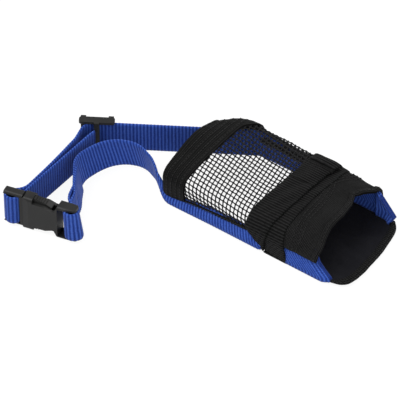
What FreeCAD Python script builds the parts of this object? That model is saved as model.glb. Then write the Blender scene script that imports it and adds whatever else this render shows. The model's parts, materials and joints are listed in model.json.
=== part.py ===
import FreeCAD, Part
import math
import os
from FreeCAD import Vector

# Soft nylon muzzle, lying flat with its neck strap closed.
# Millimetres. +X points to the nose opening, +Y to the far side, +Z up.
# The origin is the middle of the nose band's underside, on the table.

# Webbing
WEBBING_WIDTH = 20.0
WEBBING_THICKNESS = 1.5

# Muzzle body
HALF_WIDTH = 32.5
PANEL_THICKNESS = 0.8
BINDING_EXTRA = 0.4
BAND_THICKNESS = 1.0
PATCH_THICKNESS = 0.6
TAB_ROOT = 0.8
TAB_LENGTH = 21.0
TAB_FOLD_RADIUS = 0.62
PATCH_INSET = 2.0
HEM_HEIGHT = 4.0
HEM_THICKNESS = 1.4

# Lengths along the muzzle, from the rear rim
BAND_CENTRE_FROM_RIM = 82.0
BINDING_WIDTH = 15.3
WINDOW_LENGTH = 44.7
BAND_OVERLAP_WIDTH = 20.0
BAND_TOP_WIDTH = 27.5
BAND_SLANT = 13.5
BAND_SLANT_HEIGHT = 12.0
BAND_TOE = 3.0
FRONT_PANEL_LENGTH = 49.0
FRONT_HEM_WIDTH = 3.0
STRAP_LENGTH = 121.0
STRAP_END_SLANT = 9.0
FOLD_LENGTH = 12.0
CHIN_SETBACK = 1.0
CHIN_BOW = 8.5
CHIN_BINDING_WIDTH = 4.0

# Heights of the cross-section above the table
RIM_CROWN = 28.4
CROWN = 25.2
FRONT_CROWN = 25.6
SHOULDER_DROP = 1.8
SHOULDER_WIDTH = 7.8
CROWN_OFFSET = 2.0
WALL_TOP_CLEAR = 0.3
RIM_FOOT = 5.6
WAIST_FOOT = 12.0

# Open mesh of the window
MESH_PITCH = 3.1
MESH_STRAND = 1.1

# Side-release buckle
BUCKLE_THICKNESS = 8.4
BUCKLE_EDGE_RADIUS = 2.0
BODY_WALL = 1.5
BODY_MOUTH_THICKNESS = 7.2
BODY_LEAD = 4.0
WAIST_WIDTH = 14.6
WAIST_LENGTH = 1.2
FLARE_LENGTH = 2.4
MOUTH_CHAMFER = 1.0
BAR_TO_BODY = 8.5
MALE_FRAME_THICKNESS = 6.4
FRAME_TIP_THICKNESS = 4.6
FRAME_RAIL = 1.7
MALE_BAR_SETBACK = 4.0
FEMALE_BAR_SETBACK = 2.9
BAR_DIAMETER = 3.0
LOOP_CLEARANCE = 0.3
LOOP_INNER_RADIUS = 3.5
SLIDE_CLEARANCE = 0.3
PRONG_WIDTH = 3.2
PRONG_THICKNESS = 4.0
PRONG_LENGTH = 17.0
BARB_PROUD = 1.5
PRONG_TIP = 1.4
GRIP_RIBS = 5
GRIP_PITCH = 1.5
GRIP_GROOVE = 0.6
GRIP_DEPTH = 0.45
TONGUE_LENGTH = 15.0
TONGUE_WIDTH = 3.6
WINDOW_START = 6.6
BUCKLE_SLOT_LENGTH = 12.4

# Strap adjuster
GLIDE_LENGTH = 21.5
GLIDE_RAIL = 1.7
GLIDE_THICKNESS = 2.6
GLIDE_BAR = 3.2
GLIDE_CORNER_RADIUS = 1.6
GLIDE_GAP = 0.4
GLIDE_OVERHANG = 3.5

# Routes of the straps in plan, measured from the rear rim on the muzzle's axis
BEND_RADIUS = 9.0
STRAIGHT_LEAD = 6.0
LEG_REACH = 9.0
SEAM_GAP = 0.3
STRAP_CENTRE = HALF_WIDTH - WEBBING_THICKNESS / 2
FAR_BEND = (22.6, STRAP_CENTRE)
GLIDE_POINT = (-65.5, -26.0)
MALE_BAR = (-59.9, -100.9)
FEMALE_BAR = (-21.7, -91.3)
NEAR_ARCH = [(-8.0, -STRAP_CENTRE), (-16.0, -19.0), (-33.0, -17.0), (-47.5, -33.0), (-46.5, -58.0)]
LEFT_RUN = [(-60.6, -41.0), (-58.4, -70.0)]
TAIL_RUN = [(-55.7, -28.5), (-55.8, -44.0), (-55.2, -68.0)]

BUCKLE_WIDTH = WEBBING_WIDTH + 2 * (FRAME_RAIL + LOOP_CLEARANCE)
GLIDE_WIDTH = WEBBING_WIDTH + 2 * (GLIDE_RAIL + LOOP_CLEARANCE)
BODY_LENGTH = WINDOW_START + BUCKLE_SLOT_LENGTH + WAIST_LENGTH + FLARE_LENGTH
WEBBING_Z = (BUCKLE_WIDTH - WEBBING_WIDTH) / 2
WALL_TOP = WEBBING_Z + WEBBING_WIDTH + WALL_TOP_CLEAR
WAIST = BINDING_WIDTH + WINDOW_LENGTH
FRONT = WAIST + FRONT_PANEL_LENGTH


def x_at(station):
    return station - BAND_CENTRE_FROM_RIM


def plan(point, z=0.0):
    return Vector(x_at(point[0]), point[1], z)


def unit(vector):
    return vector * (1.0 / vector.Length)


def save(name, shape):
    shape.exportStep("parts/" + name + ".step")
    print(name, len(shape.Solids), round(shape.Volume, 1), len(shape.Faces))


def polygon(points):
    return Part.makePolygon(points + [points[0]])


def prism(points, direction):
    return Part.Face(polygon(points)).extrude(direction)


def box(low, high):
    size = high - low
    return Part.makeBox(size.x, size.y, size.z, low)


# Muzzle cross-sections

def diagonal_slope():
    run = FAR_BEND[0] - GLIDE_POINT[0]
    return (FAR_BEND[1] - GLIDE_POINT[1]) / run


def far_corner():
    """Station where the far strap's outer face turns straight."""
    slope = diagonal_slope()
    return FAR_BEND[0] - WEBBING_THICKNESS / 2 * (math.hypot(1, slope) - 1) / slope


def far_face(station):
    """Outer face of the far strap at a station, slanting in behind its bend."""
    slope = diagonal_slope()
    half = WEBBING_THICKNESS / 2
    slanted = FAR_BEND[1] - (FAR_BEND[0] - station) * slope + half * math.hypot(1, slope)
    return min(slanted, HALF_WIDTH)


def blend(station, rear, waist, front):
    if station <= BINDING_WIDTH:
        return rear + (waist - rear) * station / BINDING_WIDTH
    if station <= WAIST:
        return waist
    return waist + (front - waist) * (station - WAIST) / (FRONT - WAIST)


def foot(station):
    return RIM_FOOT + (WAIST_FOOT - RIM_FOOT) * min(station / WAIST, 1.0)


def section(station, low):
    """Outer line of the mesh panel as (y, z), from the near foot over to the far one."""
    crown = blend(station, RIM_CROWN, CROWN, FRONT_CROWN)
    near = -HALF_WIDTH - PANEL_THICKNESS
    far = far_face(station) + PANEL_THICKNESS
    top = WALL_TOP + PANEL_THICKNESS
    shoulder = crown - SHOULDER_DROP
    far_top = blend(station, WALL_TOP + SHOULDER_DROP, top, top)
    return [
        (near, low),
        (near, top),
        (near + SHOULDER_WIDTH, shoulder),
        (CROWN_OFFSET, crown),
        (far, far_top),
        (far, low),
    ]


def offset(points, distance):
    """Open line moved to its left by a distance, with mitred corners."""
    normals = []
    for (y0, z0), (y1, z1) in zip(points, points[1:]):
        length = math.hypot(y1 - y0, z1 - z0)
        normals.append((-(z1 - z0) / length, (y1 - y0) / length))
    moved = []
    for i, (y, z) in enumerate(points):
        before = normals[max(i - 1, 0)]
        after = normals[min(i, len(normals) - 1)]
        scale = distance / (1 + before[0] * after[0] + before[1] * after[1])
        moved.append((y + (before[0] + after[0]) * scale, z + (before[1] + after[1]) * scale))
    return moved


def at_station(points, station):
    return [Vector(x_at(station), y, z) for y, z in points]


def layer(start, end, lines, outward, inward):
    """Solid between two stations, lying between two offsets of the panel's line."""
    rings = []
    for station in (start, end):
        line = lines(station)
        outer = offset(line, outward)
        inner = offset(line, -inward)
        rings.append(polygon(at_station(outer + inner[::-1], station)))
    return Part.makeLoft(rings, True, True)


def panel_line(station):
    return section(station, foot(station))


def side_trim(points):
    """Wedge across the whole muzzle, from its outline in side view."""
    reach = 2 * HALF_WIDTH
    outline = [Vector(x_at(x), -reach, z) for x, z in points]
    return prism(outline, Vector(0, 2 * reach, 0))


# Window mesh

def inside(outline, point, margin):
    for (x0, y0), (x1, y1) in zip(outline, outline[1:] + outline[:1]):
        length = math.hypot(x1 - x0, y1 - y0)
        side = ((x1 - x0) * (point[1] - y0) - (y1 - y0) * (point[0] - x0)) / length
        if side < margin:
            return False
    return True


def net(corners, inward_corners):
    """Flat holed sheet with mitred edges. Both outlines run the same way round."""
    origin = corners[0]
    along = unit(corners[1] - origin)
    across = corners[-1] - origin
    across = unit(across - along * across.dot(along))
    normal = along.cross(across)
    flat = [((c - origin).dot(along), (c - origin).dot(across)) for c in corners]
    gap = MESH_PITCH - MESH_STRAND
    margin = gap / 2 + MESH_STRAND
    columns = int(max(x for x, y in flat) / MESH_PITCH) + 1
    rows = int(max(y for x, y in flat) / MESH_PITCH) + 1
    spare_x = max(x for x, y in flat) - int(max(x for x, y in flat) / MESH_PITCH) * MESH_PITCH
    spare_y = max(y for x, y in flat) - int(max(y for x, y in flat) / MESH_PITCH) * MESH_PITCH
    wires = [polygon(corners)]
    for column in range(columns):
        for row in range(rows):
            x = (column + 0.5) * MESH_PITCH + spare_x / 2
            y = (row + 0.5) * MESH_PITCH + spare_y / 2
            if inside(flat, (x, y), margin):
                wires.append(mesh_gap(origin + along * x + across * y, along, across, gap))
    sheet = Part.makeFace(wires, "Part::FaceMakerBullseye").extrude(normal * -PANEL_THICKNESS)
    mitred = Part.makeLoft([polygon(corners), polygon(inward_corners)], True, True)
    print("  gaps", len(wires) - 1)
    return sheet.common(mitred)


def mesh_gap(centre, along, across, gap):
    half = gap / 2
    signs = [(-1, -1), (1, -1), (1, 1), (-1, 1)]
    return polygon([centre + along * (i * half) + across * (j * half) for i, j in signs])


def window_facet(start, end, index, raised=0.0):
    """One flat facet of the window, between two corners of the section."""
    faces = []
    for distance in (0.0, -PANEL_THICKNESS):
        corners = []
        for station, corner in ((start, index), (end, index), (end, index + 1), (start, index + 1)):
            line = section(WAIST, foot(station))
            y, z = offset(line, distance)[corner]
            lift = raised if corner in (0, len(line) - 1) else 0.0
            corners.append(Vector(x_at(station), y, z + lift))
        faces.append(corners)
    return net(faces[0], faces[1])


def window_far_crown():
    bend = far_corner()
    whole = window_facet(BINDING_WIDTH, WAIST, 3)
    start = panel_line(BINDING_WIDTH)[4][0]
    edge = [
        Vector(x_at(BINDING_WIDTH), start, 0),
        Vector(x_at(bend), HALF_WIDTH + PANEL_THICKNESS, 0),
        Vector(x_at(BINDING_WIDTH), HALF_WIDTH + PANEL_THICKNESS, 0),
    ]
    return whole.cut(prism(edge, Vector(0, 0, 2 * RIM_CROWN)))


def wall_strip(side, start, end, low, high, inner, outer):
    """Upright strip on one side wall with a sloping lower and upper edge."""
    points = [
        Vector(x_at(start), side * inner, low(start)),
        Vector(x_at(end), side * inner, low(end)),
        Vector(x_at(end), side * inner, high(end)),
        Vector(x_at(start), side * inner, high(start)),
    ]
    return prism(points, Vector(0, side * (outer - inner), 0))


def panel_hem(side, start):
    def top(station):
        return foot(station) + HEM_HEIGHT

    outer = HALF_WIDTH + HEM_THICKNESS
    return wall_strip(side, start, WAIST, foot, top, HALF_WIDTH, outer)


def far_gusset():
    """Piece of the far wall that follows the strap behind its bend."""
    def wall(station):
        y = far_face(station)
        top = WALL_TOP
        low = foot(station)
        return polygon(at_station([
            (y, low), (y + PANEL_THICKNESS, low), (y + PANEL_THICKNESS, top), (y, top),
        ], station))
    return Part.makeLoft([wall(BINDING_WIDTH), wall(far_corner())], True, True)


# Nose band

def band_line(station):
    return section(station, BAND_THICKNESS)


def band_trims():
    slant_end = WAIST + BAND_SLANT
    rear = [(WAIST - 1, BAND_SLANT_HEIGHT), (WAIST - 1, -1), (slant_end, -1), (slant_end, 0),
            (WAIST, BAND_SLANT_HEIGHT)]
    toe = WAIST + BAND_TOP_WIDTH
    front = [(toe + BAND_TOE, 0), (toe, BAND_SLANT_HEIGHT), (toe, 2 * CROWN),
             (toe + 2 * BAND_TOE, 2 * CROWN), (toe + 2 * BAND_TOE, 0)]
    return side_trim(rear), side_trim(front)


def nose_band_base():
    start, end = WAIST, WAIST + BAND_TOP_WIDTH + BAND_TOE
    rings = []
    for grow in (BAND_THICKNESS, 0.0):
        wires = []
        for station in (start, end):
            line = offset(band_line(station), grow)
            low = BAND_THICKNESS - grow
            line[0] = (line[0][0], low)
            line[-1] = (line[-1][0], low)
            wires.append(polygon(at_station(line, station)))
        rings.append(Part.makeLoft(wires, True, True))
    ring = rings[0].cut(rings[1])
    for trim in band_trims():
        ring = ring.cut(trim)
    return ring


def band_overlap_line(station):
    """Line of the overlapping layer, from the near wall to the root of its tab."""
    line = section(station, BAND_THICKNESS)[:4]
    line[0] = (line[0][0], WEBBING_Z)
    return line


def nose_band():
    start, end = WAIST, WAIST + BAND_OVERLAP_WIDTH
    solid = layer(start, end, band_overlap_line, 2 * BAND_THICKNESS, -BAND_THICKNESS)
    return solid.cut(band_trims()[0])


def far_slope(station):
    """Last stretch of the section's top, where the tab lies."""
    return section(station, BAND_THICKNESS)[3:5]


def tab_layer(low, high, reach_from, reach_to, start, end):
    rings = []
    for station in (start, end):
        (y0, z0), (y1, z1) = far_slope(station)
        slope = (z1 - z0) / (y1 - y0)
        length = math.hypot(1, slope)
        along = (1 / length, slope / length)
        up = (-slope / length, 1 / length)
        corners = [(reach_from, low), (reach_to, low), (reach_to, high), (reach_from, high)]
        points = [(y0 + along[0] * a + up[0] * h, z0 + along[1] * a + up[1] * h) for a, h in corners]
        rings.append(polygon(at_station(points, station)))
    return Part.makeLoft(rings, True, True)


def tab_level():
    """Height of the tab's underside above the panel's line."""
    return BAND_THICKNESS + 2 * (PATCH_THICKNESS + LOOP_CLEARANCE)


def tab_hinge(station):
    (y0, z0), (y1, z1) = far_slope(station)
    slope = (z1 - z0) / (y1 - y0)
    length = math.hypot(1, slope)
    up = tab_level() + BAND_THICKNESS / 2
    y = y0 + (TAB_ROOT - slope * up) / length
    z = z0 + (TAB_ROOT * slope + up) / length
    return Vector(x_at(station), y, z)


def nose_band_tab():
    low = tab_level()
    start, end = WAIST, WAIST + BAND_OVERLAP_WIDTH
    flap = tab_layer(low, low + BAND_THICKNESS, TAB_ROOT, TAB_LENGTH, start, end)
    run = tab_hinge(end) - tab_hinge(start)
    fold = Part.makeCylinder(TAB_FOLD_RADIUS, run.Length, tab_hinge(start), run)
    return flap.fuse(fold).removeSplitter()


def patch(level):
    low = BAND_THICKNESS + level * (PATCH_THICKNESS + LOOP_CLEARANCE)
    start = WAIST + PATCH_INSET
    end = WAIST + BAND_OVERLAP_WIDTH - PATCH_INSET
    return tab_layer(low, low + PATCH_THICKNESS, TAB_ROOT + PATCH_INSET, TAB_LENGTH - PATCH_INSET, start, end)


# Chin panel

def chin_outline(inset):
    """Plan of the chin panel, with a bowed front edge, drawn in by an inset there."""
    rear = x_at(WAIST + BAND_SLANT)
    side = x_at(STRAP_LENGTH - CHIN_SETBACK) - inset
    nose = side + CHIN_BOW
    half = HALF_WIDTH
    edges = [
        Part.LineSegment(Vector(rear, half, 0), Vector(rear, -half, 0)),
        Part.LineSegment(Vector(rear, -half, 0), Vector(side, -half, 0)),
        Part.Arc(Vector(side, -half, 0), Vector(nose, 0, 0), Vector(side, half, 0)),
        Part.LineSegment(Vector(side, half, 0), Vector(rear, half, 0)),
    ]
    return Part.Wire([edge.toShape() for edge in edges])


def chin_solid(inset, low, high):
    face = Part.Face(chin_outline(inset))
    face.translate(Vector(0, 0, low))
    return face.extrude(Vector(0, 0, high - low))


def chin_panel():
    return chin_solid(CHIN_BINDING_WIDTH, BAND_THICKNESS, WEBBING_Z)


def chin_binding():
    whole = chin_solid(0.0, BAND_THICKNESS - BINDING_EXTRA, WEBBING_Z)
    return whole.cut(chin_solid(CHIN_BINDING_WIDTH, 0.0, 2 * WEBBING_Z))


# Webbing

def rounded_line(points, radius, side):
    """Plan line beside a route, at side times half the webbing, with round corners."""
    line = offset([(p.x, p.y) for p in points], side * WEBBING_THICKNESS / 2)
    corners = [Vector(x, y, 0) for x, y in line]
    edges = []
    last = corners[0]
    for before, corner, after in zip(corners, corners[1:], corners[2:]):
        back = unit(before - corner)
        on = unit(after - corner)
        turn = math.pi - back.getAngle(on)
        bend = radius + (1 if on.cross(back).z < 0 else -1) * side * WEBBING_THICKNESS / 2
        reach = bend * math.tan(turn / 2)
        middle = unit(back + on)
        centre = corner + middle * (bend / math.cos(turn / 2))
        start = corner + back * reach
        end = corner + on * reach
        edges.append(Part.LineSegment(last, start))
        edges.append(Part.Arc(start, centre - middle * bend, end))
        last = end
    edges.append(Part.LineSegment(last, corners[-1]))
    return edges


def webbing(points, radius=BEND_RADIUS):
    """Standing strap along a route in plan."""
    left = [edge.toShape() for edge in rounded_line(points, radius, 1)]
    right = [edge.toShape() for edge in rounded_line(points, radius, -1)]
    ends = []
    for a, b in ((left[0].firstVertex(), right[0].firstVertex()),
                 (left[-1].lastVertex(), right[-1].lastVertex())):
        ends.append(Part.LineSegment(a.Point, b.Point).toShape())
    wire = Part.Wire(Part.__sortEdges__(left + right + ends))
    wire.translate(Vector(0, 0, WEBBING_Z))
    return Part.Face(wire).extrude(Vector(0, 0, WEBBING_WIDTH))


def side_strap(side, start):
    """Straight strap along a side wall, with a slanted front end."""
    top = WEBBING_Z + WEBBING_WIDTH
    points = [(start, WEBBING_Z), (STRAP_LENGTH, WEBBING_Z),
              (STRAP_LENGTH - STRAP_END_SLANT, top), (start, top)]
    face = [Vector(x_at(x), side * HALF_WIDTH, z) for x, z in points]
    return prism(face, Vector(0, -side * WEBBING_THICKNESS, 0))


def strap_fold(side):
    """Turned-in end of a side strap, lying against its inner face."""
    top = WEBBING_Z + WEBBING_WIDTH
    low_end, high_end = STRAP_LENGTH, STRAP_LENGTH - STRAP_END_SLANT
    points = [(low_end - FOLD_LENGTH, WEBBING_Z), (low_end, WEBBING_Z),
              (high_end, top), (high_end - FOLD_LENGTH, top)]
    inner = side * (HALF_WIDTH - WEBBING_THICKNESS)
    face = [Vector(x_at(x), inner, z) for x, z in points]
    return prism(face, Vector(0, -side * WEBBING_THICKNESS, 0))


# Buckle, built along +X from the male bar, then laid along the line of the two bars

def buckle_axis():
    return unit(plan(FEMALE_BAR) - plan(MALE_BAR))


def place(shape):
    axis = buckle_axis()
    shape.rotate(Vector(0, 0, 0), Vector(0, 0, 1), math.degrees(math.atan2(axis.y, axis.x)))
    shape.translate(plan(MALE_BAR, BUCKLE_WIDTH / 2))
    return shape


def bar_gap():
    return (plan(FEMALE_BAR) - plan(MALE_BAR)).Length


def block(x0, x1, thickness, z0, z1):
    return box(Vector(x0, -thickness / 2, z0), Vector(x1, thickness / 2, z1))


def rounded_block(x0, x1, thickness, width, radius):
    solid = block(x0, x1, thickness, -width / 2, width / 2)
    edges = [e for e in solid.Edges if abs(e.tangentAt(e.FirstParameter).x) > 0.99]
    return solid.makeFillet(radius, edges)


def mirrored_prism(half, upright, reach):
    """Prism over an outline given as (along, half width), symmetric about the buckle's middle.
    It spreads across the buckle's face when upright, and across its thickness otherwise."""
    whole = half + [(x, -w) for x, w in reversed(half)]
    if upright:
        return prism([Vector(x, -reach, w) for x, w in whole], Vector(0, 2 * reach, 0))
    return prism([Vector(x, w, -reach) for x, w in whole], Vector(0, 0, 2 * reach))


def webbing_bar(x):
    rail = BUCKLE_WIDTH / 2 - FRAME_RAIL
    return Part.makeCylinder(BAR_DIAMETER / 2, 2 * rail, Vector(x, 0, -rail))


def body_end():
    return bar_gap() - BAR_TO_BODY


def body_start():
    return body_end() - BODY_LENGTH


def female_tip():
    return bar_gap() + FEMALE_BAR_SETBACK


def cavity_half():
    return BUCKLE_WIDTH / 2 - BODY_WALL


def body_face():
    """Half outline of the female half's broad face, with a waist before its webbing frame."""
    half = BUCKLE_WIDTH / 2
    waist = WAIST_WIDTH / 2
    narrow = body_start() + WINDOW_START + BUCKLE_SLOT_LENGTH
    return [
        (body_start(), half - MOUTH_CHAMFER), (body_start() + MOUTH_CHAMFER, half),
        (body_start() + WINDOW_START, half), (narrow, waist), (narrow + WAIST_LENGTH, waist),
        (body_end(), half), (female_tip(), half),
    ]


def body_edge():
    """Half outline of the female half seen on its edge: thick housing, thinner frame tip."""
    full = BUCKLE_THICKNESS / 2
    tip = FRAME_TIP_THICKNESS / 2
    return [
        (body_start(), BODY_MOUTH_THICKNESS / 2), (body_start() + BODY_LEAD, full), (body_end(), full),
        (female_tip() - MOUTH_CHAMFER, tip + MOUTH_CHAMFER / 2), (female_tip(), tip - MOUTH_CHAMFER / 2),
    ]


def buckle_body():
    """Moulded housing: a rounded bar trimmed by its two outlines, then hollowed and windowed."""
    start, end = body_start(), body_end()
    shell = rounded_block(start, female_tip(), BUCKLE_THICKNESS, BUCKLE_WIDTH, BUCKLE_EDGE_RADIUS)
    shell = shell.common(mirrored_prism(body_face(), True, BUCKLE_THICKNESS))
    shell = shell.common(mirrored_prism(body_edge(), False, BUCKLE_WIDTH))
    hollow = PRONG_THICKNESS + 2 * SLIDE_CLEARANCE
    shell = shell.cut(block(start - 1, end - BODY_WALL, hollow, -cavity_half(), cavity_half()))
    rail = BUCKLE_WIDTH / 2 - FRAME_RAIL
    shell = shell.cut(block(end, female_tip() + 1, 2 * BUCKLE_THICKNESS, -rail, rail))
    for side in (-1, 1):
        low, high = sorted((side * (cavity_half() - BARB_PROUD), side * BUCKLE_WIDTH))
        window = block(start + WINDOW_START, start + WINDOW_START + BUCKLE_SLOT_LENGTH,
                       2 * BUCKLE_THICKNESS, low, high)
        shell = shell.cut(window)
    return place(shell.fuse(webbing_bar(bar_gap())).removeSplitter())


def male_plate():
    """Webbing frame with its bar, and the guide tongue that enters the housing."""
    start = body_start()
    end = start - SLIDE_CLEARANCE
    frame = rounded_block(-MALE_BAR_SETBACK, end, MALE_FRAME_THICKNESS, BUCKLE_WIDTH, BUCKLE_EDGE_RADIUS)
    rail = BUCKLE_WIDTH / 2 - FRAME_RAIL
    slot = block(-MALE_BAR_SETBACK - 1, end - FRAME_RAIL, 2 * MALE_FRAME_THICKNESS, -rail, rail)
    tongue = block(start - FRAME_RAIL, start + TONGUE_LENGTH, PRONG_THICKNESS,
                   -TONGUE_WIDTH / 2, TONGUE_WIDTH / 2)
    return place(frame.cut(slot).multiFuse([webbing_bar(0.0), tongue]).removeSplitter())


def prong_root():
    """Hinge line of a prong: along the buckle and out from its middle."""
    return body_start() - SLIDE_CLEARANCE + PRONG_WIDTH / 2, cavity_half() - SLIDE_CLEARANCE - PRONG_WIDTH / 2


def barb_start():
    return body_start() + WINDOW_START + SLIDE_CLEARANCE


def grip_crest():
    return cavity_half() - SLIDE_CLEARANCE + BARB_PROUD


def grip_height(x):
    """Outer face of the grip: an arc that leaves the shoulder level and drops to the tip."""
    root_x, root_z = prong_root()
    run = root_x + PRONG_LENGTH - barb_start()
    drop = grip_crest() - (root_z - PRONG_WIDTH / 2 + PRONG_TIP)
    radius = (run * run + drop * drop) / (2 * drop)
    return grip_crest() - radius + math.sqrt(radius * radius - (x - barb_start()) ** 2)


def prong_outline(side):
    """Side view of a prong: straight arm, square shoulder, and a grip that bows in to the tip."""
    root_x, root_z = prong_root()
    half = PRONG_WIDTH / 2
    tip = root_x + PRONG_LENGTH
    barb = barb_start()
    outer = root_z + half
    middle = (barb + tip) / 2
    at = [Vector(x, -PRONG_THICKNESS / 2, side * z) for x, z in (
        (root_x, root_z - half), (tip, root_z - half), (tip, root_z - half + PRONG_TIP),
        (middle, grip_height(middle)), (barb, grip_crest()), (barb, outer), (root_x, outer))]
    edges = [
        Part.LineSegment(at[0], at[1]), Part.LineSegment(at[1], at[2]), Part.Arc(at[2], at[3], at[4]),
        Part.LineSegment(at[4], at[5]), Part.LineSegment(at[5], at[6]), Part.LineSegment(at[6], at[0]),
    ]
    return Part.Face(Part.Wire([edge.toShape() for edge in edges]))


def grip_grooves(side):
    """Finger grooves across the outer side of a prong's grip."""
    grooves = []
    for i in range(GRIP_RIBS):
        x = barb_start() + GRIP_PITCH * (i + 1)
        low, high = sorted((side * (grip_height(x) - GRIP_DEPTH), side * (grip_crest() + BARB_PROUD)))
        grooves.append(block(x, x + GRIP_GROOVE, 2 * PRONG_THICKNESS, low, high))
    return grooves


def prong(side):
    root_x, root_z = prong_root()
    arm = prong_outline(side).extrude(Vector(0, PRONG_THICKNESS, 0))
    barrel = Part.makeCylinder(PRONG_WIDTH / 2, PRONG_THICKNESS,
                               Vector(root_x, -PRONG_THICKNESS / 2, side * root_z), Vector(0, 1, 0))
    whole = arm.fuse(barrel).removeSplitter()
    for groove in grip_grooves(side):
        whole = whole.cut(groove)
    return place(whole)


def webbing_loop(bar, toward, reach):
    """Webbing turned round a buckle bar, with two legs running off to one side."""
    along = unit(toward)
    across = Vector(-along.y, along.x, 0)
    slack = LOOP_INNER_RADIUS - BAR_DIAMETER / 2 - LOOP_CLEARANCE
    centre = plan(bar, WEBBING_Z) + along * slack
    radii = (LOOP_INNER_RADIUS, LOOP_INNER_RADIUS + WEBBING_THICKNESS)
    edges = []
    for radius in radii:
        edges.append(Part.Arc(centre + across * radius, centre - along * radius, centre - across * radius))
        for side in (1, -1):
            start = centre + across * (side * radius)
            edges.append(Part.LineSegment(start, start + along * (reach - slack)))
    for side in (1, -1):
        ends = [centre + along * (reach - slack) + across * (side * radius) for radius in radii]
        edges.append(Part.LineSegment(ends[0], ends[1]))
    wire = Part.Wire(Part.__sortEdges__([edge.toShape() for edge in edges]))
    return Part.Face(wire).extrude(Vector(0, 0, WEBBING_WIDTH))


# Strap adjuster

def glide_rail(z):
    """Top or bottom rail of the adjuster, with rounded ends."""
    rail = box(Vector(0, -GLIDE_THICKNESS, z), Vector(GLIDE_LENGTH, GLIDE_THICKNESS, z + GLIDE_RAIL))
    corners = [e for e in rail.Edges if abs(e.tangentAt(e.FirstParameter).z) > 0.99]
    return rail.makeFillet(GLIDE_CORNER_RADIUS, corners)


def tri_glide():
    """Frame with two end bars and a middle bar, which the strap passes between."""
    near_face = WEBBING_THICKNESS / 2 + GLIDE_GAP
    parts = [glide_rail(0.0), glide_rail(GLIDE_WIDTH - GLIDE_RAIL)]
    first = (GLIDE_BAR + GLIDE_CORNER_RADIUS) / 2
    for x, side in ((first, 1), (GLIDE_LENGTH / 2, -1), (GLIDE_LENGTH - first, 1)):
        low, high = sorted((side * near_face, side * (near_face + GLIDE_THICKNESS)))
        parts.append(box(Vector(x - GLIDE_BAR / 2, low, 0), Vector(x + GLIDE_BAR / 2, high, GLIDE_WIDTH)))
    solid = parts[0].multiFuse(parts[1:]).removeSplitter()
    run = plan(FAR_BEND) - plan(GLIDE_POINT)
    solid.rotate(Vector(0, 0, 0), Vector(0, 0, 1), math.degrees(math.atan2(run.y, run.x)))
    solid.translate(plan(GLIDE_POINT) - unit(run) * GLIDE_OVERHANG)
    return solid


def leg_end(bar, toward, side):
    """Where one leg of a webbing loop ends, at the middle of its thickness."""
    along = unit(toward)
    across = Vector(-along.y, along.x, 0)
    middle = LOOP_INNER_RADIUS + WEBBING_THICKNESS / 2
    return plan(bar) + along * (LEG_REACH + SEAM_GAP) + across * (side * middle)


def far_neck_route():
    start = plan((FAR_BEND[0] + STRAIGHT_LEAD, FAR_BEND[1]))
    points = [start, plan(FAR_BEND), plan(GLIDE_POINT)] + [plan(p) for p in LEFT_RUN]
    return points + [leg_end(MALE_BAR, male_way(), 1)]


def male_way():
    return plan(LEFT_RUN[-1]) - plan(MALE_BAR)


def female_way():
    return plan(NEAR_ARCH[-1]) - plan(FEMALE_BAR)


def far_tail_route():
    """Doubled layer of the far strap, from the buckle back towards the adjuster."""
    return [plan(p) for p in TAIL_RUN] + [leg_end(MALE_BAR, male_way(), -1)]


def near_neck_route():
    start = plan((0.0, -STRAP_CENTRE))
    return [start] + [plan(p) for p in NEAR_ARCH] + [leg_end(FEMALE_BAR, female_way(), 1)]


def build():
    os.makedirs("parts", exist_ok=True)
    save("window_near_wall_mesh", window_facet(BINDING_WIDTH, WAIST, 0, HEM_HEIGHT))
    save("window_shoulder_mesh", window_facet(BINDING_WIDTH, WAIST, 1))
    save("window_near_crown_mesh", window_facet(BINDING_WIDTH, WAIST, 2))
    save("window_far_crown_mesh", window_far_crown())
    save("window_far_wall_mesh", window_facet(far_corner(), WAIST, 4, HEM_HEIGHT))
    save("far_wall_gusset", far_gusset())
    save("rear_binding", layer(0.0, BINDING_WIDTH, panel_line, BINDING_EXTRA, PANEL_THICKNESS))
    hem_start = FRONT - FRONT_HEM_WIDTH
    save("front_mesh_panel", layer(WAIST, hem_start, panel_line, 0.0, PANEL_THICKNESS))
    save("front_hem_binding", layer(hem_start, FRONT, panel_line, BINDING_EXTRA, PANEL_THICKNESS))
    save("near_panel_hem", panel_hem(-1, BINDING_WIDTH))
    save("far_panel_hem", panel_hem(1, far_corner()))
    save("nose_band_base", nose_band_base())
    save("nose_band_overlap", nose_band())
    save("nose_band_tab", nose_band_tab())
    save("loop_patch", patch(0))
    save("hook_patch", patch(1))
    save("chin_panel", chin_panel())
    save("chin_panel_binding", chin_binding())
    save("near_side_strap", side_strap(-1, 0.0))
    save("far_side_strap", side_strap(1, FAR_BEND[0] + STRAIGHT_LEAD))
    save("near_strap_fold", strap_fold(-1))
    save("far_strap_fold", strap_fold(1))
    save("near_neck_strap", webbing(near_neck_route()))
    save("near_strap_loop", webbing_loop(FEMALE_BAR, female_way(), LEG_REACH))
    save("far_neck_strap", webbing(far_neck_route()))
    save("far_strap_tail", webbing(far_tail_route()))
    save("far_strap_loop", webbing_loop(MALE_BAR, male_way(), LEG_REACH))
    save("tri_glide", tri_glide())
    save("buckle_female_body", buckle_body())
    save("buckle_male_plate", male_plate())
    save("buckle_upper_prong", prong(1))
    save("buckle_lower_prong", prong(-1))
    axis = buckle_axis()
    print("buckle axis", axis.x, axis.y)
    for side in (1, -1):
        x, z = prong_root()
        at = plan(MALE_BAR, BUCKLE_WIDTH / 2 + side * z) + axis * x
        print("prong hinge", at.x, at.y, at.z)
    print("tab hinge", tab_hinge(WAIST + BAND_OVERLAP_WIDTH / 2))


build()
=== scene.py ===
import json
import math
from functools import lru_cache

import bpy
import numpy as np
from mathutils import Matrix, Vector, noise


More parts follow.
